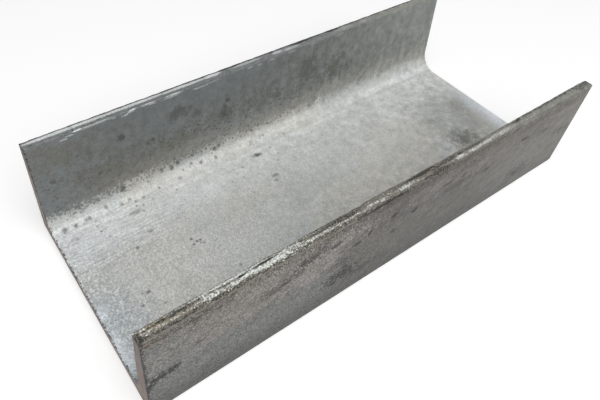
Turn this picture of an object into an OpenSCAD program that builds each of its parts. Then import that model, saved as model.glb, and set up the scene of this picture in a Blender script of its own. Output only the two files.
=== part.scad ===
// A short length of hot-rolled steel channel, galvanised and sawn square at both ends.
// It lies on its web with the open side up: X runs along the piece, Y across it, and Z up.
// The origin is under the middle of the web. All sizes are in millimetres.

/* [Section] */
// Depth of the channel, from the back of one flange to the back of the other
depth = 100; // [80:1:160]
// Width of a flange, from the back of the web to the toe
flange_width = 50; // [40:0.5:65]
// Thickness of the web
web_thickness = 5; // [4:0.1:8]
// Thickness of a flange, halfway between the back of the web and the toe
flange_thickness = 6.6; // [6:0.1:10]
// Slope of a flange's inner face, as a rise in a hundred
flange_slope = 8; // [0:0.5:10]

/* [Rolled corners] */
// Radius of the fillet between the web and the inner face of a flange
root_radius = 10; // [4:0.5:12]
// Radius of the inner corner of a flange's toe
toe_radius = 0.6; // [0.3:0.1:2.5]
// Radius of the outer corner of a flange's toe
toe_edge_radius = 0.4; // [0.2:0.05:0.6]
// Radius of the outer corner between the web and a flange
heel_radius = 1.5; // [0.5:0.1:3]

/* [Length] */
// Length of the piece between its two sawn ends
piece_length = 235; // [100:1:600]

/* [Hidden] */
$fn = 96;

// Distance of a flange's back from the middle of the web
flange_back = depth / 2;
// Angle of a flange's inner face from upright
taper_angle = atan(flange_slope / 100);
// How far a fillet or a corner cut reaches past its corner, so that it overlaps cleanly
lap = 0.2;
// How far an arc runs over the edges that it meets, so that it crosses them
overrun = 0.001;

// Thickness of a flange at a height above the back of the web
function flange_thickness_at(height) =
    flange_thickness + flange_slope / 100 * (flange_width / 2 - height);

// Point on the inner face of the flange on the +Y side, at a height above the back of the web
function inner_face_at(height) = [flange_back - flange_thickness_at(height), height];

// Unit vector at an angle
function toward(angle) = [cos(angle), sin(angle)];

// Area between a corner and the arc that touches both its edges, which leave it at two angles
module spandrel(corner, edge_a, edge_b, radius) {
    half_angle = (edge_b - edge_a) / 2;
    middle = toward((edge_a + edge_b) / 2);
    tangent = radius / tan(half_angle);
    centre = corner + radius / sin(half_angle) * middle;
    difference() {
        polygon([
            corner - lap * middle,
            corner + tangent * toward(edge_a),
            centre,
            corner + tangent * toward(edge_b)
        ]);
        translate(centre)
            circle(radius + overrun);
    }
}

// What stands on the +Y side, and its mirror image on the other side
module both_sides() {
    children();
    mirror([1, 0])
        children();
}

// The flat web, as deep as the channel
module web() {
    translate([-flange_back, 0])
        square([depth, web_thickness]);
}

// A tapered flange and the fillet at its root
module flange() {
    polygon([
        [flange_back, 0],
        [flange_back, flange_width],
        inner_face_at(flange_width),
        inner_face_at(0)
    ]);
    spandrel(inner_face_at(web_thickness), 90 - taper_angle, 180, root_radius);
}

// What the rolls take off the heel and the two corners of the toe
module rounded_off() {
    spandrel([flange_back, 0], 90, 180, heel_radius);
    spandrel([flange_back, flange_width], 180, 270, toe_edge_radius);
    spandrel(inner_face_at(flange_width), 270 - taper_angle, 360, toe_radius);
}

// The rolled section, web down
module section() {
    difference() {
        union() {
            web();
            both_sides()
                flange();
        }
        both_sides()
            rounded_off();
    }
}

// The whole channel: web and flanges in one piece, from one sawn end to the other
module c_channel() {
    color("silver")
        rotate([90, 0, 90])
            linear_extrude(height = piece_length, center = true)
                section();
}

c_channel();
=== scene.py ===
import math

import bpy
import numpy as np
from mathutils import Euler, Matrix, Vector, noise


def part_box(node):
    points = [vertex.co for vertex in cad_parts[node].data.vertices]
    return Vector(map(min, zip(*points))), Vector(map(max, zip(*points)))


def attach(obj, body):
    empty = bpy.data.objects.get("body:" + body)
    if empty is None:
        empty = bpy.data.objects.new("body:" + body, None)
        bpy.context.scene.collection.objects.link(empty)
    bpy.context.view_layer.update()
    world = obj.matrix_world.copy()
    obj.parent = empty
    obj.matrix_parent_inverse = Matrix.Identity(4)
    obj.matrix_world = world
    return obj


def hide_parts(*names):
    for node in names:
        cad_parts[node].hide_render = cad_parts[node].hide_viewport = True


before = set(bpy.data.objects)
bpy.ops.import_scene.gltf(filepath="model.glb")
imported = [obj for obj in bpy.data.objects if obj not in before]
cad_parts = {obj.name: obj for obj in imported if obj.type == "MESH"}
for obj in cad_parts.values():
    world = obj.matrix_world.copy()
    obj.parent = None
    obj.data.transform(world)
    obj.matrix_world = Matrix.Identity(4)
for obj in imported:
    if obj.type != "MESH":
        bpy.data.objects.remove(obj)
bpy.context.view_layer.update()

# Rolled channel
# A short length of hot-rolled mild steel: a flat web with a tapered flange along each edge, all one
# piece, with filleted roots and square toes. The rolls leave its faces slightly wavy, handling has
# crushed its toes, and the saw leaves a fine broken edge round each end. Sizes are in millimetres.
MM = 0.001
low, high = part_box("c_channel")
flange_back = high.y / MM
toe_height = high.z / MM
end_left = low.x / MM
end_right = high.x / MM
web_thickness = 5.0
flange_thickness = 6.6
flange_slope = 0.08
root_radius = 10.0
toe_radius = 0.6
toe_edge_radius = 0.4
heel_radius = 1.5

# Wear: waves from the rolls, crushed toes, broken saw edges, and the lip that is rolled over along the
# inner edge of the near toe and fades out before its right end
long_wave, long_wave_depth = 42, 0.05
short_wave, short_wave_depth = 9, 0.02
toe_wear_foot, toe_wear_height = 46.0, 3.5
dent, dent_depth = 2.4, 0.30
nick, nick_share = 1.1, 0.6
broken_edge = 0.15
chip, chip_depth = 1.7, 0.22
saw_depth = 0.02
lip_width, lip_foot, lip_height = 0.55, 47.6, 1.8
lip_end, lip_fade = 40.0, 60.0

# Steps of the mesh down the toe, the flange, the corner and half the web, through the wall, and along
toe_steps, flange_steps, corner_steps, web_steps = 6, 26, 14, 18
wall_steps = 8
length_steps = 340


def straight(start, end, steps, gather=1.0):
    """Points from start up to, but not including, end. A gather over 1 crowds them toward the start."""
    share = ((np.arange(steps) / steps) ** gather)[:, None]
    return (1 - share) * np.array(start) + share * np.array(end)


def arc(centre, radius, start, end, steps):
    """Points on an arc between two angles in radians, up to, but not including, its end"""
    angle = start + (end - start) * np.arange(steps) / steps
    return np.array(centre) + radius * np.column_stack((np.cos(angle), np.sin(angle)))


def both_halves(half, middle):
    """A path from the +Y toe to the middle of the web, and on to the -Y toe"""
    return np.concatenate((half, [middle], half[::-1] * (-1, 1)))


taper = math.atan(flange_slope)
lean = math.hypot(1, flange_slope)
inner_face_foot = flange_back - flange_thickness - flange_slope * toe_height / 2
root_height = web_thickness + root_radius
root_centre = np.array((inner_face_foot + flange_slope * root_height - root_radius * lean, root_height))
toe_level = toe_height - toe_radius
toe_centre = np.array((inner_face_foot + flange_slope * toe_level + toe_radius * lean, toe_level))
face_normal = np.array((math.cos(taper), -math.sin(taper)))
toe_edge = np.array((flange_back - toe_edge_radius, toe_height - toe_edge_radius))
heel = np.array((flange_back - heel_radius, heel_radius))
quarter = math.pi / 2

outside = both_halves(
    np.concatenate((
        arc(toe_edge, toe_edge_radius, quarter, 0, toe_steps),
        straight((flange_back, toe_edge[1]), (flange_back, heel_radius), flange_steps, 1.25),
        arc(heel, heel_radius, 0, -quarter, corner_steps),
        straight((heel[0], 0), (0, 0), web_steps),
    )),
    (0, 0),
)
inside = both_halves(
    np.concatenate((
        arc(toe_centre, toe_radius, quarter, math.pi - taper, toe_steps),
        straight(
            toe_centre - toe_radius * face_normal, root_centre + root_radius * face_normal, flange_steps, 1.25
        ),
        arc(root_centre, root_radius, -taper, -quarter, corner_steps),
        straight((root_centre[0], web_thickness), (0, web_thickness), web_steps),
    )),
    (0, web_thickness),
)

# The section as a grid from the outside (j = 0) to the inside, and the ring of points round its edge
girth_steps = len(outside) - 1
through = np.linspace(0, 1, wall_steps + 1)[None, :, None]
section = (1 - through) * outside[:, None] + through * inside[:, None]
ring = [(i, 0) for i in range(girth_steps + 1)]
ring += [(girth_steps, j) for j in range(1, wall_steps + 1)]
ring += [(i, wall_steps) for i in range(girth_steps - 1, -1, -1)]
ring += [(0, j) for j in range(wall_steps - 1, 0, -1)]
ring_size = len(ring)
profile = np.array([section[i, j] for i, j in ring])
along = np.roll(profile, -1, 0) - np.roll(profile, 1, 0)
facing = np.column_stack((-along[:, 1], along[:, 0]))
facing /= np.linalg.norm(facing, axis=1)[:, None]

stations = np.concatenate((
    [end_left],
    np.linspace(end_left + broken_edge, end_right - broken_edge, length_steps + 1),
    [end_right],
))
station_count = len(stations)


def bumps(point, size, seed):
    """Smooth noise from -1 to 1 with bumps of about that size in millimetres"""
    return noise.noise(Vector(point) / size + Vector((seed, 3.7 * seed, -1.9 * seed)))


def held(value):
    """A value kept between 0 and 1"""
    return min(max(value, 0), 1)


def worn_in(x, y, z):
    """How far a point of the rolled faces lies below the true section, in millimetres"""
    rolled = long_wave_depth * (1 + bumps((x, y, z), long_wave, 1))
    rolled += short_wave_depth * (1 + bumps((x, y, z), short_wave, 2))
    at_toe = held((z - toe_wear_foot) / toe_wear_height)
    if at_toe == 0:
        return rolled
    rolled *= 1 - 0.6 * at_toe
    crushed = max(bumps((x * 0.55, y * 1.4, z), dent, 3), 0)
    crushed += nick_share * max(bumps((x, y, z), nick, 4), 0)
    return rolled + at_toe * dent_depth * crushed


def rolled_over(x, y, z):
    """How far the inner edge of the near toe is rolled over into the channel, in millimetres"""
    if y > 0:
        return 0
    on_edge = held((toe_centre[0] + y) / toe_radius)
    up_lip = held((z - lip_foot) / lip_height)
    fading = held((lip_end - x) / lip_fade)
    return lip_width * fading * on_edge * up_lip ** 2 * (1 + 0.4 * bumps((x, 0, 0), 12, 6))


def broken_off(y, z, seed):
    """How far the saw's edge is broken back along the length, in millimetres"""
    return 0.05 + chip_depth * max(bumps((seed, y, z), chip, seed) - 0.1, 0)


points = np.empty((station_count, ring_size, 3))
points[:, :, 0] = stations[:, None]
points[:, :, 1:] = profile[None]
for station in range(station_count):
    at_end = station in (0, station_count - 1)
    for place in range(ring_size):
        x, y, z = points[station, place]
        depth = worn_in(x, y, z) + (broken_edge if at_end else 0)
        points[station, place, 1:] -= depth * facing[place]
        points[station, place, 1] += rolled_over(x, y, z)
        if at_end:
            points[station, place, 0] -= math.copysign(broken_off(y, z, station + 5), x)
vertices = points.reshape(-1, 3)

step = np.arange(station_count - 1)[:, None] * ring_size
place = np.arange(ring_size)[None]
after = (place + 1) % ring_size
side_faces = np.stack(
    (step + place, step + ring_size + place, step + ring_size + after, step + after), -1
).reshape(-1, 4)

# Sawn ends: the section's grid, whose rim is shared with the first and the last ring
ring_place = {spot: place for place, spot in enumerate(ring)}
end_faces = []
end_spots = []
for station, x in ((0, end_left), (station_count - 1, end_right)):
    spots = {}
    for i in range(girth_steps + 1):
        for j in range(wall_steps + 1):
            if (i, j) in ring_place:
                spots[i, j] = station * ring_size + ring_place[i, j]
            else:
                spots[i, j] = len(vertices)
                y, z = section[i, j]
                vertices = np.vstack((vertices, (x - math.copysign(saw_depth, x), y, z)))
    for i in range(girth_steps):
        for j in range(wall_steps):
            corners = [(i, j), (i + 1, j), (i + 1, j + 1), (i, j + 1)]
            if x > 0:
                corners.reverse()
            end_faces.append([spots[corner] for corner in corners])
            end_spots.append(corners)

mesh = bpy.data.meshes.new("c_channel_skin")
mesh.from_pydata(vertices * MM, [], np.concatenate((side_faces, end_faces)).tolist())
mesh.polygons.foreach_set("use_smooth", np.ones(len(mesh.polygons), bool))
crease = math.radians(35)
mesh.set_sharp_from_angle(angle=crease)

# Which finish each face has: the toes' reaches a little way down their corners
inside_skin, outside_skin, toe_skin, bare_end = range(4)
toe_skin_depth = 0.5
skin = np.full(ring_size, inside_skin, np.int32)
skin[:girth_steps] = outside_skin
face_heights = (profile + np.roll(profile, -1, 0))[:, 1] / 2
skin[face_heights > toe_height - toe_skin_depth] = toe_skin
skin = np.concatenate((np.tile(skin, station_count - 1), np.full(len(end_faces), bare_end, np.int32)))
mesh.polygons.foreach_set("material_index", skin)

# Distance of a sawn end's points from the nearest rolled face, for the dark rim of the cut
rim = np.zeros(len(vertices), np.float32)
on_ends = vertices[station_count * ring_size:, 1:]
rim[station_count * ring_size:] = np.linalg.norm(on_ends[:, None] - profile[None], axis=2).min(1)
mesh.attributes.new("rim", "FLOAT", "POINT").data.foreach_set("value", rim)

# Unrolled layout for a baked finish: the length runs along it, and the outside, the inside, the two toes
# and the two sawn ends lie above each other, the narrow ones stretched to show their detail
layout_gap = 3.0
toe_stretch, end_stretch = 3.0, 2.0
edge_lengths = np.linalg.norm(np.diff(profile, axis=0, append=profile[:1]), axis=1)
around = np.concatenate(([0], np.cumsum(edge_lengths)))
strips = [
    (0, girth_steps, 1.0),
    (girth_steps, girth_steps + wall_steps, toe_stretch),
    (girth_steps + wall_steps, 2 * girth_steps + wall_steps, 1.0),
    (2 * girth_steps + wall_steps, ring_size, toe_stretch),
]
level = layout_gap
side_layout = []
for first, last, stretch in strips:
    heights = level + (around[first:last + 1] - around[first]) * stretch
    side_layout += zip(heights[:-1], heights[1:])
    level = heights[-1] + layout_gap
length = end_right - end_left
layout_width = length + 2 * layout_gap
side_layout = np.array(side_layout)
spread = (stations - end_left + layout_gap) / layout_width
layout = np.empty((station_count - 1, ring_size, 4, 2))
layout[:, :, [0, 3], 0] = spread[:-1, None, None]
layout[:, :, [1, 2], 0] = spread[1:, None, None]
layout[:, :, [0, 1], 1] = side_layout[None, :, None, 0]
layout[:, :, [2, 3], 1] = side_layout[None, :, None, 1]
side_corners = layout.reshape(-1, 2)
end_depth = np.linalg.norm(outside - inside, axis=1).max() * end_stretch
end_corners = []
for face, corners in enumerate(end_spots):
    lift = level if face < len(end_spots) / 2 else level + end_depth + layout_gap
    for i, j in corners:
        reach = np.linalg.norm(section[i, j] - section[i, 0]) * end_stretch
        end_corners.append(((around[i] + layout_gap) / layout_width, lift + reach))
layout_height = level + 2 * (end_depth + layout_gap)
layout = np.concatenate((side_corners, end_corners)) / (1, layout_height)
mesh.uv_layers.new(name="OFBake").uv.foreach_set("vector", layout.ravel())

channel = bpy.data.objects.new("channel_body", mesh)
bpy.context.scene.collection.objects.link(channel)

# Galvanised skin
# A dull zinc coat from the dipping bath, grown into the steel. It has a sandy grain, coarser toward
# the left end, and it is dark and broken along the left saw cut.


def tone(red, green, blue):
    """A colour given as it looks on a screen, from 0 to 255, as the light value that a shader takes"""
    shares = (value / 255 for value in (red, green, blue))
    return tuple(s / 12.92 if s <= 0.04045 else ((s + 0.055) / 1.055) ** 2.4 for s in shares) + (1.0,)


def add(tree, kind, inputs, **options):
    """A node in a tree. Each input is a plain value or another node's output."""
    node = tree.nodes.new(kind)
    for name, value in options.items():
        setattr(node, name, value)
    for name, value in inputs.items():
        if isinstance(value, bpy.types.NodeSocket):
            tree.links.new(value, node.inputs[name])
        else:
            node.inputs[name].default_value = value
    return node


def work_out(tree, operation, *values):
    """One sum of a Math node"""
    return add(tree, "ShaderNodeMath", dict(enumerate(values)), operation=operation).outputs[0]


def times(tree, *values):
    """Values multiplied together"""
    product = values[0]
    for value in values[1:]:
        product = work_out(tree, "MULTIPLY", product, value)
    return product


def line(tree, value, slope, start):
    """A value times a slope, plus a start"""
    return work_out(tree, "MULTIPLY_ADD", value, slope, start)


def centred(tree, value):
    """A value from 0 to 1 moved to lie about 0"""
    return work_out(tree, "SUBTRACT", value, 0.5)


def rise(tree, value, start, end):
    """0 up to start, 1 from end on, and smooth between them"""
    inputs = {"Value": value, "From Min": start, "From Max": end}
    return add(tree, "ShaderNodeMapRange", inputs, interpolation_type="SMOOTHSTEP").outputs["Result"]


def speckle(tree, position, size, detail=2.0, roughness=0.5):
    """Noise from 0 to 1 with spots of about that size in millimetres"""
    inputs = {"Vector": position, "Scale": 1 / size, "Detail": detail, "Roughness": roughness}
    return add(tree, "ShaderNodeTexNoise", inputs).outputs["Fac"]


def streaks(tree, position, size, stretch, tilt):
    """The same noise drawn out along each axis by a factor, and tilted by degrees up along the length"""
    inputs = {"Vector": position, "Rotation": (0, math.radians(tilt), 0), "Scale": stretch}
    drawn_out = add(tree, "ShaderNodeMapping", inputs, vector_type="TEXTURE").outputs[0]
    return speckle(tree, drawn_out, size, 3, 0.65)


def coat(tree, below, amount, colour):
    """A colour laid over another by an amount"""
    return add(tree, "ShaderNodeMix", {0: amount, 6: below, 7: colour}, data_type="RGBA").outputs[2]


def shaded(tree, colour, shade):
    """A colour made lighter or darker by a factor"""
    return add(tree, "ShaderNodeVectorMath", {0: colour, "Scale": shade}, operation="SCALE").outputs[0]


def effect(name, inputs, outputs):
    """A node group with these inputs and outputs, each a name and a kind of socket"""
    group = bpy.data.node_groups.new(name, "ShaderNodeTree")
    for label, kind in inputs:
        group.interface.new_socket(label, in_out="INPUT", socket_type=kind)
    for label, kind in outputs:
        group.interface.new_socket(label, in_out="OUTPUT", socket_type=kind)
    return group, group.nodes.new("NodeGroupInput").outputs, group.nodes.new("NodeGroupOutput").inputs


# Unevenness of a metal face from clouds down to sand, and the wander that it gives to the edge of a mark
kinds = ("Cloud", "Mottle", "Blotch", "Sand", "Grain", "Fleck", "Wander")
unevenness, given, result = effect(
    "unevenness",
    [("Position", "NodeSocketVector")],
    [(label, "NodeSocketFloat") for label in kinds],
)
textures = {
    label: speckle(unevenness, given["Position"], size, detail, roughness)
    for label, size, detail, roughness in (
        ("Cloud", 38, 3, 0.5), ("Mottle", 11, 3, 0.6), ("Blotch", 3.6, 3, 0.65), ("Sand", 1.0, 1, 0.9)
    )
}
for label, size in (("Grain", 0.65), ("Fleck", 0.42)):
    cells = add(unevenness, "ShaderNodeTexVoronoi", {"Vector": given["Position"], "Scale": 1 / size})
    textures[label] = centred(unevenness, cells.outputs["Color"])
textures["Wander"] = line(unevenness, textures["Sand"], 2.0, line(unevenness, textures["Blotch"], 2.4, -2.2))
for label, texture in textures.items():
    unevenness.links.new(texture, result[label])

# Finish of the zinc: its sandy grain, its roughness and height, and the dark edge at the left saw cut
zinc_finish, given, result = effect(
    "zinc_finish",
    [
        ("Position", "NodeSocketVector"),
        ("Colour", "NodeSocketColor"),
        ("Coarseness", "NodeSocketFloat"),
        ("Edge Reach", "NodeSocketFloat"),
    ],
    [("Colour", "NodeSocketColor"), ("Roughness", "NodeSocketFloat"), ("Height", "NodeSocketFloat")],
)
x = add(zinc_finish, "ShaderNodeSeparateXYZ", {0: given["Position"]}).outputs[0]
uneven = add(zinc_finish, "ShaderNodeGroup", {"Position": given["Position"]}, node_tree=unevenness).outputs
coarse = {"Value": x, "From Min": -110, "From Max": 110, "To Min": 0.6, "To Max": 0.12}
coarse = add(zinc_finish, "ShaderNodeMapRange", coarse).outputs["Result"]
shade = line(zinc_finish, uneven["Grain"], times(zinc_finish, coarse, given["Coarseness"]), 1.0)
cloudy = line(zinc_finish, rise(zinc_finish, x, 0, 80), 0.3, 0.3)
shade = line(zinc_finish, centred(zinc_finish, uneven["Mottle"]), cloudy, shade)
past_left = rise(zinc_finish, x, -60, 10)
spotted = line(zinc_finish, past_left, 0.3, 0.6)
shade = line(zinc_finish, centred(zinc_finish, uneven["Blotch"]), spotted, shade)
shade = line(zinc_finish, centred(zinc_finish, uneven["Sand"]), times(zinc_finish, past_left, 0.25), shade)
colour = shaded(zinc_finish, given["Colour"], shade)
edge_line = work_out(zinc_finish, "SUBTRACT", x, given["Edge Reach"])
edge_line = line(zinc_finish, uneven["Wander"], 0.6, edge_line)
edge_line = line(zinc_finish, uneven["Fleck"], 1.6, edge_line)
cut_edge = times(zinc_finish, rise(zinc_finish, edge_line, -117.1, -117.4), 0.85)
colour = coat(zinc_finish, colour, cut_edge, tone(36, 33, 31))
height = line(zinc_finish, uneven["Mottle"], 0.12, times(zinc_finish, uneven["Sand"], 0.22))
zinc_finish.links.new(colour, result["Colour"])
zinc_finish.links.new(line(zinc_finish, uneven["Mottle"], 0.2, 0.48), result["Roughness"])
zinc_finish.links.new(line(zinc_finish, uneven["Blotch"], 0.15, height), result["Height"])

# A mark on a face: an ellipsoid with a ragged edge, more or less soft, laid over the marks before it
ragged_mark, given, result = effect(
    "ragged_mark",
    [
        ("Before", "NodeSocketFloat"),
        ("Position", "NodeSocketVector"),
        ("Wander", "NodeSocketFloat"),
        ("Softness", "NodeSocketFloat"),
        ("Middle", "NodeSocketVector"),
        ("Reach", "NodeSocketVector"),
        ("Strength", "NodeSocketFloat"),
    ],
    [("Mask", "NodeSocketFloat")],
)
offset = {0: given["Position"], 1: given["Middle"]}
offset = add(ragged_mark, "ShaderNodeVectorMath", offset, operation="SUBTRACT").outputs[0]
offset = {0: offset, 1: given["Reach"]}
offset = add(ragged_mark, "ShaderNodeVectorMath", offset, operation="DIVIDE").outputs[0]
offset = add(ragged_mark, "ShaderNodeVectorMath", {0: offset}, operation="LENGTH").outputs["Value"]
edge = work_out(ragged_mark, "ADD", offset, given["Wander"])
edge = work_out(ragged_mark, "DIVIDE", work_out(ragged_mark, "SUBTRACT", 1.0, edge), given["Softness"])
mask = times(ragged_mark, rise(ragged_mark, edge, -0.5, 0.5), given["Strength"])
ragged_mark.links.new(work_out(ragged_mark, "MAXIMUM", mask, given["Before"]), result["Mask"])


def marks(tree, position, wander, softness, places):
    """Mask of listed marks, each with its middle, its reach to each side and its strength"""
    mask = 0.0
    for middle, reach, strength in places:
        inputs = {
            "Before": mask,
            "Position": position,
            "Wander": wander,
            "Softness": softness,
            "Middle": middle,
            "Reach": reach,
            "Strength": strength,
        }
        mask = add(tree, "ShaderNodeGroup", inputs, node_tree=ragged_mark).outputs["Mask"]
    return mask


def metal(name):
    """A material of the channel, with its node tree, its shader and the place on the piece in millimetres"""
    material = bpy.data.materials.new(name)
    material.use_nodes = True
    mesh.materials.append(material)
    tree = material.node_tree
    place = add(tree, "ShaderNodeTexCoord", {}).outputs["Object"]
    place = add(tree, "ShaderNodeVectorMath", {0: place, "Scale": 1 / MM}, operation="SCALE").outputs[0]
    return tree, tree.nodes["Principled BSDF"], place


def unevenness_at(tree, place, *kinds):
    """Some kinds of unevenness at a place"""
    uneven = add(tree, "ShaderNodeGroup", {"Position": place}, node_tree=unevenness).outputs
    return [uneven[kind] for kind in kinds]


def finish_zinc(tree, shader, place, colour, coarseness, edge_reach):
    """Lay the zinc's finish over a colour, and set them on the shader"""
    inputs = {"Position": place, "Colour": colour, "Coarseness": coarseness, "Edge Reach": edge_reach}
    finish = add(tree, "ShaderNodeGroup", inputs, node_tree=zinc_finish).outputs
    bump = add(tree, "ShaderNodeBump", {"Height": finish["Height"], "Strength": 1.0, "Distance": MM})
    tree.links.new(finish["Colour"], shader.inputs["Base Color"])
    tree.links.new(finish["Roughness"], shader.inputs["Roughness"])
    tree.links.new(bump.outputs["Normal"], shader.inputs["Normal"])
    shader.inputs["Metallic"].default_value = 0.25


# Inside of the channel
# The pale web and the greyer inner faces of the flanges, zinc all over, the flange faces darker partly as
# painted shade. It has painted light toward the far root and painted highlights up the root fillets, and is
# bluish at the left end and clouded at the right, with dark pits, blots and runs of dull film.


def on_web(*places):
    """Marks on the web, each given as x, y, reach along, reach across and strength"""
    return [
        ((x, y, web_thickness), (along, across, 2.5), strength)
        for x, y, along, across, strength in places
    ]


def on_far_root(*places):
    """Pits on the far root fillet, each given as x, degrees up from the web, reach and strength"""
    pits = []
    for x, degrees, reach, strength in places:
        angle = math.radians(degrees)
        y, z = root_centre + root_radius * np.array((math.sin(angle), -math.cos(angle)))
        pits.append(((x, y, z), (reach, reach, reach), strength))
    return pits


def on_far_flange(*places):
    """Marks on the inner face of the far flange, each given as x, z, reach along, reach up and strength"""
    return [
        ((x, inner_face_foot + flange_slope * z, z), (along, 2.5, up), strength)
        for x, z, along, up, strength in places
    ]


tree, shader, spot = metal("zinc_inside")
x, y, z = add(tree, "ShaderNodeSeparateXYZ", {0: spot}).outputs
cloud, sand, grain, wander = unevenness_at(tree, spot, "Cloud", "Sand", "Grain", "Wander")
wide_wander = times(tree, wander, 1.8)
slight_wander = times(tree, wander, 0.7)

zinc = coat(tree, tone(184, 187, 185), rise(tree, cloud, 0.4, 0.6), tone(189, 188, 183))
beige = on_web((-82, -14, 36, 24, 0.9), (50, 11, 44, 13, 0.7), (-96, -30, 24, 8, 0.7))
zinc = coat(tree, zinc, marks(tree, spot, wide_wander, 1.4, beige), tone(205, 205, 201))
# Painted light: the web is painted lighter toward the far root, less so toward the right end
painted_light_by_far_root = times(tree, rise(tree, y, 6, 27), rise(tree, z, 5.5, 5.0))
painted_light_by_far_root = times(tree, painted_light_by_far_root, line(tree, rise(tree, x, -40, 40), -0.15, 1.0))
zinc = coat(tree, zinc, painted_light_by_far_root, tone(209, 211, 209))
frosted = on_web((-108, 26, 26, 12, 0.4), (-56, 25, 14, 5, 0.35))
zinc = coat(tree, zinc, marks(tree, spot, wide_wander, 1.0, frosted), tone(222, 227, 231))
bluish = times(tree, rise(tree, line(tree, wander, 8.0, x), -90, -112), rise(tree, y, 16, -10), 0.75)
zinc = coat(tree, zinc, bluish, tone(171, 178, 182))
corner = rise(tree, line(tree, y, 0.35, x), -98, -112)
zinc = shaded(tree, zinc, line(tree, times(tree, corner, centred(tree, sand)), 1.1, 1.0))
zinc = coat(tree, zinc, times(tree, rise(tree, grain, 0.12, 0.3), corner, 0.2), tone(232, 237, 240))
clouded = on_web(
    (106, -4, 26, 24, 0.4), (88, -17, 8, 6, 0.95), (86, -11, 6, 4, 0.6), (84, 2, 6, 2.5, 0.5),
    (107, 1, 12, 10, 0.6),
)
zinc = coat(tree, zinc, marks(tree, spot, slight_wander, 1.6, clouded), tone(116, 117, 110))
# A painted glare of light over the right end of the web, and two pale patches at the left end
painted_glare_and_pale_patches = on_web((121, -14, 10, 26, 1.0), (-116.5, -8, 2.5, 3.5, 0.7), (-116.5, -26, 2.8, 9, 0.75))
zinc = coat(tree, zinc, marks(tree, spot, slight_wander, 1.6, painted_glare_and_pale_patches), tone(222, 228, 234))
# Painted light on the root fillets: lighter above the web, most toward the right end
painted_light_up_root = times(tree, rise(tree, z, 6.2, 8.5), line(tree, rise(tree, x, 10, 60), 0.8, 0.05))
zinc = coat(tree, zinc, painted_light_up_root, tone(190, 192, 189))
# A painted highlight in a narrow band along the root fillet, stronger toward the right end
painted_fillet_highlight = times(tree, rise(tree, z, 5.2, 6.0), rise(tree, z, 8.2, 6.8))
painted_fillet_highlight = times(tree, painted_fillet_highlight, line(tree, rise(tree, x, 20, 80), 0.45, 0.1))
zinc = coat(tree, zinc, painted_fillet_highlight, tone(216, 219, 220))
# A painted highlight higher up the root fillet, over the middle of the length
painted_root_light = times(tree, rise(tree, z, 6.4, 7.4), rise(tree, z, 11, 9))
painted_root_light = times(tree, painted_root_light, rise(tree, x, -75, -40), rise(tree, x, 45, 15))
zinc = coat(tree, zinc, times(tree, painted_root_light, 0.5), tone(212, 211, 207))
brushed = times(tree, rise(tree, y, 4, 16), rise(tree, z, 9, 6), rise(tree, x, -50, -90), 1.2)
brush = centred(tree, streaks(tree, spot, 1.0, (9, 1, 1), 0))
zinc = shaded(tree, zinc, line(tree, brushed, brush, 1.0))

# The film of the flanges, darker partly as painted shade of their steep faces, fades in over the root
# fillets, speckled at the left end and smooth at the right
upright = centred(tree, streaks(tree, spot, 3.2, (1, 1, 3.5), 0))
lift = times(tree, upright, line(tree, rise(tree, x, -60, 20), -7.0, -2.0))
lift = line(tree, rise(tree, x, -96, -66), -2.0, lift)
lift = line(tree, rise(tree, x, 80, 112), 2.2, lift)
lift = line(tree, grain, times(tree, rise(tree, x, 60, -20), 7.0), lift)
lift = line(tree, wander, line(tree, rise(tree, x, 20, 70), 1.1, -1.6), lift)
film_line = work_out(tree, "ADD", z, lift)
breadth = line(tree, rise(tree, x, -20, 60), 1.9, 1.0)
slowly = times(tree, rise(tree, film_line, 24, 12), rise(tree, x, -110, 0))
up_flange = work_out(tree, "DIVIDE", work_out(tree, "SUBTRACT", film_line, 11.0), breadth)
up_flange = rise(tree, up_flange, -1, 1)
up_flange = times(tree, up_flange, line(tree, slowly, -0.4, 1.0))
# Its dark grey tones are partly real film and partly painted shade of the steep flange faces
film = coat(tree, tone(125, 130, 130), rise(tree, x, -10, 95), tone(141, 145, 141))
warm = times(tree, rise(tree, z, 26, 12), rise(tree, x, -116, -80), 0.7)
film = coat(tree, film, warm, tone(134, 127, 116))
brownish = on_far_flange(
    (-104, 40, 18, 5, 0.55), (-84, 25, 16, 6, 0.6), (-54, 24, 16, 5, 0.6), (-10, 30, 16, 5, 0.45),
    (24, 34, 14, 10, 0.35), (44, 29, 14, 8, 0.35), (64, 24, 20, 7, 0.3), (-108, 45.5, 10, 2, 0.5),
)
film = coat(tree, film, marks(tree, spot, wide_wander, 1.7, brownish), tone(118, 113, 102))
flange_blots = on_far_flange(
    (-50, 39.5, 4.5, 3.2, 0.6), (-41, 35.5, 3, 2.2, 0.45), (-26, 28, 3, 3.5, 0.5),
    (-110, 29.5, 1.2, 1.1, 0.6), (-90, 24, 1.1, 1, 0.6), (-98, 37.5, 1, 0.9, 0.5),
    (-78, 38.2, 1.8, 1.5, 0.7), (-93, 36.5, 1.1, 2, 0.4), (-64, 30.6, 0.9, 1.1, 0.6),
    (-67, 29.8, 0.9, 1, 0.4), (-24, 35.8, 1.2, 0.8, 0.6), (-26, 32.8, 1.1, 1.1, 0.6),
    (-86, 23.5, 0.9, 0.8, 0.4), (25, 35, 5, 6, 0.35), (43, 30, 6, 6, 0.35),
    (-12, 30, 1.2, 1.2, 0.4), (2, 28, 4, 2.2, 0.2),
)
film = coat(tree, film, marks(tree, spot, slight_wander, 1.1, flange_blots), tone(74, 73, 67))
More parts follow.
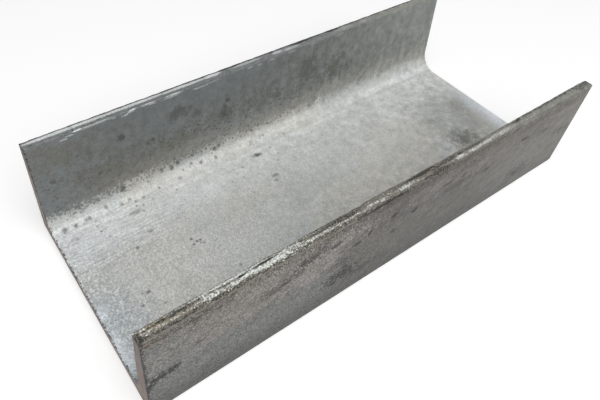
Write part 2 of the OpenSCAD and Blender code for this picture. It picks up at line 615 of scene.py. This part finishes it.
scuffs = on_far_flange(
    (-101.5, 47.7, 1.6, 0.35, 0.9), (-98.8, 48.7, 1.8, 0.35, 1.0), (-88, 49.3, 7, 0.3, 0.4),
    (-79.8, 49.2, 0.9, 0.4, 0.9), (-74.8, 48.5, 1.5, 0.4, 0.95), (-72.8, 49.1, 1.5, 0.4, 0.95),
    (-62.3, 49.2, 1.8, 0.35, 0.7), (-53, 49.0, 4, 0.35, 0.7), (-38, 48.4, 3.5, 0.4, 0.7),
    (-32, 48.9, 4, 0.4, 0.5), (-11.3, 49.0, 1.6, 0.5, 0.6), (-6, 48.6, 1.2, 0.5, 0.5),
    (1.5, 48.9, 1.5, 0.5, 0.6), (13, 49.1, 2, 0.5, 0.5), (27, 49.2, 2, 0.4, 0.4),
    (44, 48.7, 2.5, 0.5, 0.35),
)
film = coat(tree, film, marks(tree, spot, wander, 0.8, scuffs), tone(196, 202, 202))
film = shaded(tree, film, line(tree, upright, line(tree, rise(tree, x, -40, 60), 0.5, 0.2), 1.0))
zinc = coat(tree, zinc, up_flange, film)

# Dark pits, on the web and up the far root, with a close group of them left of the middle
web_pits = on_web(
    (-14, 31.5, 1.8, 1.2, 0.9), (-14.5, 15.6, 2, 0.9, 0.5), (-16, 12.7, 0.9, 0.9, 0.5),
    (-81, 17.8, 1.1, 0.8, 0.6), (-90, 12.8, 0.9, 0.8, 0.6), (-97, 24.5, 0.7, 0.7, 0.4),
    (-82, 30.8, 2.6, 1.2, 0.4), (-68.5, 4.5, 0.6, 0.6, 0.8), (-67, 2.3, 0.7, 0.7, 0.8),
    (-65.5, 2.2, 0.6, 0.6, 0.8), (-69, 1.5, 0.6, 0.6, 0.6), (-66, 0.6, 0.5, 0.5, 0.7),
    (-64.8, -0.2, 0.5, 0.5, 0.6), (-96, -8.5, 0.8, 0.7, 0.7), (-101, -13, 0.7, 0.6, 0.5),
    (-93, -16.5, 0.8, 0.6, 0.5), (-58, -18, 0.8, 0.7, 0.5), (-25, 28.5, 0.9, 0.7, 0.4),
)
root_pits = on_far_root(
    (-112, 29, 1.1, 0.7), (-107, 27, 0.9, 0.7), (-102, 29, 0.8, 0.5), (-100.5, 30, 0.8, 0.6),
    (-92, 37, 0.9, 0.6), (-85, 29, 0.8, 0.5), (-81, 32, 0.8, 0.6), (-82, 66, 1.3, 0.8),
    (-53.5, 72, 1.4, 0.8), (-57, 63, 0.9, 0.7), (-33, 66, 1.1, 0.8), (-30.5, 69, 1.0, 0.6),
    (-42, 45, 1.0, 0.7), (-47, 53, 0.9, 0.6), (-34, 40, 0.8, 0.5), (-55, 29, 0.9, 0.4),
    (-75, 22, 0.8, 0.5), (-52, 45, 0.7, 0.5), (-62, 70, 1.0, 0.6), (-13, 38, 1.2, 0.4),
    (-7, 44, 0.9, 0.4), (-103, 70, 1.6, 0.5),
)
pits = marks(tree, spot, slight_wander, 1.3, web_pits + root_pits)
dots = add(tree, "ShaderNodeTexVoronoi", {"Vector": spot, "Scale": 1 / 3.4}).outputs
pepper = times(tree, rise(tree, dots["Distance"], 0.28, 0.06), rise(tree, dots["Color"], 0.40, 0.60))
peppered = times(tree, rise(tree, y, 15, 29), rise(tree, z, 40, 10), rise(tree, x, 50, -20))
pepper = times(tree, pepper, line(tree, peppered, 0.46, 0.07))
pits = work_out(tree, "MAXIMUM", pits, pepper)
dots = add(tree, "ShaderNodeTexVoronoi", {"Vector": spot, "Scale": 1 / 1.7}).outputs
pepper = times(tree, rise(tree, dots["Distance"], 0.42, 0.16), rise(tree, dots["Color"], 0.38, 0.58))
peppered = times(tree, rise(tree, z, 9, 12), rise(tree, z, 46, 18), rise(tree, x, 110, -20))
peppered = times(tree, peppered, line(tree, rise(tree, x, -90, -40), 0.3, 0.45))
pits = work_out(tree, "MAXIMUM", pits, times(tree, pepper, peppered))
zinc = coat(tree, zinc, pits, tone(66, 66, 62))
coarseness = line(tree, up_flange, -0.35, line(tree, rise(tree, y, 10, 28), -0.3, 1.0))
finish_zinc(tree, shader, spot, zinc, coarseness, 0.0)

# Outside of the channel
# The backs of the flanges and the underside of the web, weathered to a film that is brown and speckled toward
# the toes and the left end and grey toward the heel and the right, and darker all over partly as painted
# shade. Its stains run slightly uphill.


def on_near_flange(*places):
    """Marks on the back of the near flange, each given as x, z, reach along, reach up and strength"""
    return [((x, -flange_back, z), (along, 2.5, up), strength) for x, z, along, up, strength in places]


tree, shader, spot = metal("weathered_outside")
x, _, z = add(tree, "ShaderNodeSeparateXYZ", {0: spot}).outputs
mottle, grain, fleck, wander = unevenness_at(tree, spot, "Mottle", "Grain", "Fleck", "Wander")
slight_wander = times(tree, wander, 0.7)
streaky = line(tree, streaks(tree, spot, 2.6, (3.2, 1, 1), -19), 5.0, -2.5)
outside_height = line(tree, mottle, 30.0, line(tree, x, -0.06, z))
# The dark base of the film is partly real weathering and partly painted shade of the outer faces
film = coat(tree, tone(115, 117, 114), rise(tree, outside_height, 36, 58), tone(125, 121, 115))
film = coat(tree, film, times(tree, rise(tree, x, 10, 90), 0.6), tone(124, 120, 114))
in_middle = times(tree, rise(tree, x, -52, -22), rise(tree, x, 90, 30), line(tree, streaky, 0.3, 0.7))
film = coat(tree, film, in_middle, tone(92, 89, 83))
left_end = times(tree, rise(tree, line(tree, wander, 6.0, x), -92, -106), rise(tree, z, 48, 44), 0.7)
film = coat(tree, film, left_end, tone(118, 119, 116))
bottom = times(tree, rise(tree, z, 20, 1), line(tree, rise(tree, x, 20, 110), -0.45, 0.88))
film = coat(tree, film, bottom, tone(76, 75, 72))
pinkish = on_near_flange(
    (-30, 43, 14, 6, 0.9), (-48, 37, 14, 8, 0.85), (-94, 35, 18, 7, 0.4), (-72, 44, 16, 5, 0.6),
    (14, 43, 14, 5, 0.35), (40, 40, 12, 5, 0.3),
)
film = coat(tree, film, marks(tree, spot, streaky, 1.2, pinkish), tone(145, 140, 135))
toe_band = times(tree, rise(tree, line(tree, streaky, -5.0, z), 40, 49), rise(tree, fleck, 0.15, -0.1))
toe_band = times(tree, toe_band, line(tree, rise(tree, x, 40, 80), -0.4, 0.75))
film = coat(tree, film, toe_band, tone(78, 70, 63))
outside_smears = on_near_flange(
    (-50, 42.5, 7, 2.4, 0.65), (-66, 35.5, 6, 1.8, 0.6), (-57, 37.5, 5, 2.4, 0.65),
    (-33, 17.0, 6.5, 3.4, 1.0), (-20, 13, 6, 2.6, 0.55), (-34, 26.5, 6, 3.2, 0.45),
    (35, 43, 5, 2.2, 0.5), (28, 33, 8, 2.2, 0.5), (82, 12, 8, 3.6, 0.45), (72, 46, 5, 2, 0.4),
    (82, 46, 6, 2, 0.4), (100, 46, 8, 2, 0.4), (108, 27, 5, 2, 0.35), (-37, 49.0, 8, 2, 0.25),
    (-22, 46.0, 9, 6, 0.4), (5, 49.5, 40, 2.5, 0.5), (-92, 48, 6, 2, 0.4), (-12, 41, 10, 6, 0.3),
    (82, 39, 11, 6, 0.25),
)
smear_edge = line(tree, streaky, 0.35, line(tree, grain, 2.0, slight_wander))
film = coat(tree, film, marks(tree, spot, smear_edge, 0.8, outside_smears), tone(42, 40, 38))
outside_blots = on_near_flange(
    (-37.1, 13.8, 1.8, 1.1, 0.9), (-34.2, 16.8, 2.4, 1.2, 0.7), (-31, 21.2, 2, 1.2, 0.6),
    (-40.3, 41.1, 2.2, 1.2, 0.8), (-54.2, 41, 2.5, 1.2, 0.8), (-62, 35.8, 2.4, 1.1, 0.7),
    (-9.5, 38.4, 2.2, 1.1, 0.8), (3.5, 33.3, 1.8, 1.1, 1.0), (-28.2, 33.5, 1.8, 1.0, 0.9),
    (-21.9, 35.9, 1.8, 1.1, 0.9), (-7.1, 26.9, 1.4, 1.0, 0.8), (21.6, 37.9, 2.6, 1.0, 0.7),
    (31.6, 37.6, 2.4, 1.0, 0.7), (48.1, 31.1, 3, 1.0, 0.6), (72.9, 37.6, 2.4, 1.3, 0.8),
    (90, 35, 1.8, 1.1, 0.7), (80.6, 11.5, 1.8, 1.2, 0.7), (108, 27, 2, 1, 0.6),
    (-96.9, 31.2, 2, 0.8, 0.7), (-104.6, 46.7, 1.4, 0.7, 0.7), (-99.5, 47.2, 2.2, 0.8, 0.6),
    (-91, 34.6, 1.8, 0.7, 0.5), (-93.9, 26.2, 1.1, 0.6, 0.5),
)
blot_edge = work_out(tree, "ADD", grain, slight_wander)
film = coat(tree, film, marks(tree, spot, blot_edge, 0.8, outside_blots), tone(34, 33, 31))
black_stain = on_near_flange(
    (-116, 21, 2.8, 1.6, 1.0), (-114, 23.2, 2.2, 2.0, 1.0), (-111.2, 23.2, 2.6, 1.9, 1.0),
    (-108, 23.8, 2.4, 1.9, 1.0), (-106, 24.6, 1.8, 1.0, 1.0), (-116.5, 26, 1.6, 1.2, 0.7),
    (-111, 25.6, 1.4, 0.9, 0.8), (-117, 18.5, 1.2, 1.4, 0.8),
)
stain_edge = work_out(tree, "ADD", fleck, slight_wander)
film = coat(tree, film, marks(tree, spot, stain_edge, 0.7, black_stain), tone(36, 35, 33))
rust_lines = on_near_flange(
    (-114.5, 47.4, 4, 0.45, 1.0), (-110, 46.9, 2.5, 0.4, 0.8), (-114, 49.2, 4, 0.4, 0.6),
    (-105, 48.2, 4, 0.4, 0.5),
)
film = coat(tree, film, marks(tree, spot, wander, 0.9, rust_lines), tone(84, 60, 48))
broad = line(tree, streaks(tree, spot, 5.0, (2.4, 1, 1), -30), 0.7, 0.65)
gritty = line(tree, rise(tree, x, 90, -60), 0.9, 0.3)
broad = line(tree, grain, times(tree, gritty, 0.35), broad)
film = shaded(tree, film, line(tree, fleck, gritty, broad))
finish_zinc(tree, shader, spot, film, 0.65, 0.65)

# Toes
# The narrow edges on top of the flanges, crushed and brown where the piece was dragged and stacked, with
# flecks of dirt, a broken strip of bright bare zinc along each of them, and a painted highlight along the
# inner edge of the near toe.


def on_toe(*places):
    """Marks on top of a toe, each given as x, y, reach along, reach across and strength"""
    return [((x, y, toe_height), (along, across, 2.0), strength) for x, y, along, across, strength in places]


tree, shader, spot = metal("crushed_toes")
x, y, _ = add(tree, "ShaderNodeSeparateXYZ", {0: spot}).outputs
fleck, wander = unevenness_at(tree, spot, "Fleck", "Wander")
wide_wander = times(tree, wander, 1.8)
slight_wander = times(tree, wander, 0.7)
far_side = rise(tree, y, -1, 1)
# Bright bare strips along the near toe; the two long thin marks at y -45.6, along its inner edge, are a
# painted highlight
bare_strips_and_edge_highlight = on_toe(
    (-90, -47.4, 10, 0.9, 0.8), (-75, -47.3, 16, 0.8, 1.0), (-66, -46.9, 10, 1.4, 1.0),
    (-50, -47.5, 9, 0.6, 0.8), (-42, -47.5, 8, 0.6, 0.65), (-29, -47.8, 8, 0.5, 0.6),
    (-20, -47.5, 7, 0.7, 0.7), (-4, -47.7, 8, 0.8, 0.85), (6, -47.9, 4, 0.7, 0.5),
    (21, -48.1, 2, 0.8, 0.5), (26, -48.0, 4, 1.2, 0.9), (38, -48.0, 10, 1.1, 0.85),
    (52, -47.8, 12, 1.0, 0.75), (70, -48.0, 10, 1.0, 0.55), (84, -48.4, 8, 0.8, 0.35),
    (104, -48.8, 18, 0.8, 0.15), (-106, -47.6, 12, 0.7, 0.3), (-112, -45.6, 6, 0.3, 0.2),
    (-82, -45.6, 20, 0.5, 1.0),
)
dark_strips = on_toe(
    (-69.5, -46.1, 4.5, 0.35, 1.9), (-79, -46.35, 1.6, 0.4, 1.6), (-104, -46.4, 8, 0.6, 0.55),
    (-88, -46.5, 3, 0.6, 0.3), (-97, -46.3, 3, 0.6, 0.5), (-35, -46.5, 6, 0.9, 0.6),
    (-47, -46.6, 4, 0.7, 0.4), (4, -46.2, 8, 0.6, 1.0), (17, -46.9, 8, 0.8, 0.5),
    (27, -46.9, 2, 0.6, 0.8), (36, -46.9, 6, 0.6, 0.7), (64, -46.6, 3, 0.7, 0.7),
    (92, -46.2, 34, 0.7, 0.4), (114, -47.5, 8, 2.5, 0.4), (97, -46.5, 4, 0.5, 0.4),
    (-16, -49.6, 14, 0.6, 0.7), (12, -48.9, 9, 1.0, 0.5), (-94, -48.9, 24, 0.6, 0.4),
    (-50, -48.5, 12, 0.4, 0.2), (20, -49.7, 40, 0.5, 0.3), (8, -47.4, 8, 0.9, 0.35),
    (104, -45.5, 18, 0.6, 0.35), (95, -49.7, 24, 0.5, 0.3), (0, 50, 140, 0.95, 1.2),
    (22, 49.0, 9, 0.7, 0.6), (42, 48.9, 4, 0.6, 0.6), (-38, 49.4, 4, 0.5, 0.6),
    (-117.5, -48.2, 2, 2.0, 0.7),
)
grit = line(tree, streaks(tree, spot, 0.6, (4, 1, 1), 0), 1.5, line(tree, fleck, 0.85, -0.75))
grit = times(tree, grit, line(tree, rise(tree, x, 60, -90), 0.8, 0.35))
grit = times(tree, grit, line(tree, rise(tree, x, -94, -106), -0.2, 1.0))
grit = times(tree, grit, line(tree, rise(tree, y, -49.2, -49.7), -0.7, 1.0))
bright = marks(tree, spot, slight_wander, 1.0, bare_strips_and_edge_highlight)
grit = times(tree, grit, line(tree, far_side, -0.5, 1.0), line(tree, bright, -0.45, 1.0))
grade = line(tree, bright, 0.42, work_out(tree, "ADD", grit, 0.38))
grade = line(tree, marks(tree, spot, slight_wander, 0.9, dark_strips), -0.45, grade)
film = coat(tree, tone(118, 114, 105), far_side, tone(118, 122, 122))
film = coat(tree, film, rise(tree, x, 10, 100), tone(140, 140, 133))
yellowish = on_toe((-112, -45.8, 5, 0.4, 0.5), (-110, -47.0, 5, 0.5, 0.45), (-104, -47.4, 4, 0.6, 0.4))
yellow_edge = line(tree, fleck, 1.4, wide_wander)
film = coat(tree, film, marks(tree, spot, yellow_edge, 0.8, yellowish), tone(166, 148, 118))
film = coat(tree, tone(44, 43, 40), rise(tree, grade, 0.10, 0.36), film)
# Bare zinc, and the painted highlight along the inner edge of the near toe
bare_and_edge_highlight = rise(tree, grade, 0.56, 0.86)
film = coat(tree, film, bare_and_edge_highlight, tone(212, 216, 212))
silver_strip = on_toe(
    (-98, 48.25, 22, 0.85, 0.9), (-70, 48.25, 20, 0.8, 0.85), (-45, 48.2, 16, 0.8, 0.8),
    (-31, 48.2, 5, 0.9, 0.9), (-12, 48.1, 8, 0.8, 0.5), (6, 47.6, 3, 1.0, 0.6),
    (14, 47.2, 5, 0.9, 0.5), (48, 47.2, 6, 0.9, 0.25), (61, 47, 3, 0.9, 0.25),
    (-95.5, 45.5, 2, 0.4, 0.8), (-88, 45.5, 7, 0.35, 0.4), (-71.5, 45.5, 1.6, 0.4, 0.8),
    (-64, 45.5, 3, 0.35, 0.5), (-52, 45.5, 4, 0.35, 0.6),
)
silver = marks(tree, spot, times(tree, wander, 0.35), 0.7, silver_strip)
film = coat(tree, film, silver, tone(206, 210, 209))
finish_zinc(tree, shader, spot, film, 0.6, 0.0)
tree.links.new(line(tree, work_out(tree, "MAXIMUM", bare_and_edge_highlight, silver), 0.4, 0.25), shader.inputs["Metallic"])

# Sawn ends
# Bare steel where the length was cut off with a band saw, dulled by a brownish bloom of rust,
# with fine scratches from the teeth and a dark broken rim.
tree, shader, spot = metal("sawn_steel")
z = add(tree, "ShaderNodeSeparateXYZ", {0: spot}).outputs["Z"]
mottle, blotch, fleck, wander = unevenness_at(tree, spot, "Mottle", "Blotch", "Fleck", "Wander")
steel = coat(tree, tone(118, 100, 92), rise(tree, mottle, 0.35, 0.65), tone(96, 77, 69))
steel = coat(tree, steel, times(tree, rise(tree, blotch, 0.52, 0.68), 0.6), tone(112, 84, 68))
upper = rise(tree, line(tree, wander, 6.0, z), 24, 46)
steel = coat(tree, steel, times(tree, upper, 0.85), tone(80, 62, 53))
rim = add(tree, "ShaderNodeAttribute", {}, attribute_name="rim").outputs["Fac"]
rim = line(tree, fleck, 1.4, line(tree, wander, 0.8, rim))
steel = coat(tree, steel, times(tree, rise(tree, rim, 0.8, 0.3), 0.9), tone(34, 31, 29))
scratched = {"Vector": spot, "Rotation": (math.radians(12), 0, 0), "Scale": (1, 14, 0.5)}
scratched = add(tree, "ShaderNodeMapping", scratched, vector_type="TEXTURE").outputs[0]
scratch = speckle(tree, scratched, 1.0, 2, 0.7)
bump = {"Height": times(tree, scratch, 0.08), "Strength": 1.0, "Distance": MM}
bump = add(tree, "ShaderNodeBump", bump)
tree.links.new(shaded(tree, steel, line(tree, scratch, 0.7, 0.65)), shader.inputs["Base Color"])
tree.links.new(line(tree, mottle, 0.2, 0.4), shader.inputs["Roughness"])
shader.inputs["Metallic"].default_value = 0.35
tree.links.new(bump.outputs["Normal"], shader.inputs["Normal"])

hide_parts("c_channel")
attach(channel, "root")

# Floor
# A plain pale floor under the piece, matt and a little bright of itself, so that it looks almost
# white near the piece and still takes its soft shadow.
floor_reach = 3.0
floor_mesh = bpy.data.meshes.new("floor")
floor_corners = [(x * floor_reach, y * floor_reach, 0) for x, y in ((-1, -1), (1, -1), (1, 1), (-1, 1))]
floor_mesh.from_pydata(floor_corners, [], [(0, 1, 2, 3)])
floor = bpy.data.objects.new("floor", floor_mesh)
bpy.context.scene.collection.objects.link(floor)
pale = bpy.data.materials.new("pale_floor")
pale.use_nodes = True
tree = pale.node_tree
rays = add(tree, "ShaderNodeLightPath", {})
seen = work_out(tree, "MAXIMUM", rays.outputs["Is Camera Ray"], rays.outputs["Is Glossy Ray"])
seen = work_out(tree, "MAXIMUM", seen, rays.outputs["Is Transmission Ray"])
shader = tree.nodes["Principled BSDF"]
shader.inputs["Base Color"].default_value = (0.8, 0.8, 0.8, 1)
shader.inputs["Roughness"].default_value = 0.9
shader.inputs["Specular IOR Level"].default_value = 0.0
shader.inputs["Emission Color"].default_value = (1, 1, 1, 1)
floor_glow = 0.4
tree.links.new(work_out(tree, "MULTIPLY", seen, floor_glow), shader.inputs["Emission Strength"])
floor_mesh.materials.append(pale)

# Light
# A large soft box overhead, toward the near side, and an even pale room round it that looks white
# and gives a low fill light.
box_light = bpy.data.lights.new("soft_box", "AREA")
box_light.shape = "RECTANGLE"
box_light.size = 1.4
box_light.size_y = 1.2
box_light.energy = 13
soft_box = bpy.data.objects.new("soft_box", box_light)
soft_box.location = (-0.2, -0.55, 1.0)
soft_box.rotation_euler = soft_box.location.to_track_quat("Z", "Y").to_euler()
bpy.context.scene.collection.objects.link(soft_box)

room = bpy.data.worlds.new("pale_room")
room.use_nodes = True
tree = room.node_tree
rays = add(tree, "ShaderNodeLightPath", {})
seen = work_out(tree, "MAXIMUM", rays.outputs["Is Camera Ray"], rays.outputs["Is Glossy Ray"])
seen = work_out(tree, "MAXIMUM", seen, rays.outputs["Is Transmission Ray"])
room_level = 0.2
backdrop = tree.nodes["Background"]
backdrop.inputs["Color"].default_value = (1, 1, 1, 1)
tree.links.new(line(tree, seen, 1 - room_level, room_level), backdrop.inputs["Strength"])
bpy.context.scene.world = room
bpy.context.scene.view_settings.view_transform = "Standard"

# Camera
# Above and in front of the near left corner, looking down into the open side, with the picture
# shifted so that the piece fills the frame.
lens = bpy.data.cameras.new("camera")
lens.lens = 34.4907
lens.sensor_width = 36
lens.shift_x = 0.07933
lens.shift_y = -0.07407
lens.clip_start = 0.001
camera = bpy.data.objects.new("camera", lens)
camera.location = (-0.14298, -0.12871, 0.20662)
camera.rotation_euler = Euler([math.radians(angle) for angle in (45.3869, -3.0095, -35.1645)])
bpy.context.scene.collection.objects.link(camera)
bpy.context.scene.camera = camera
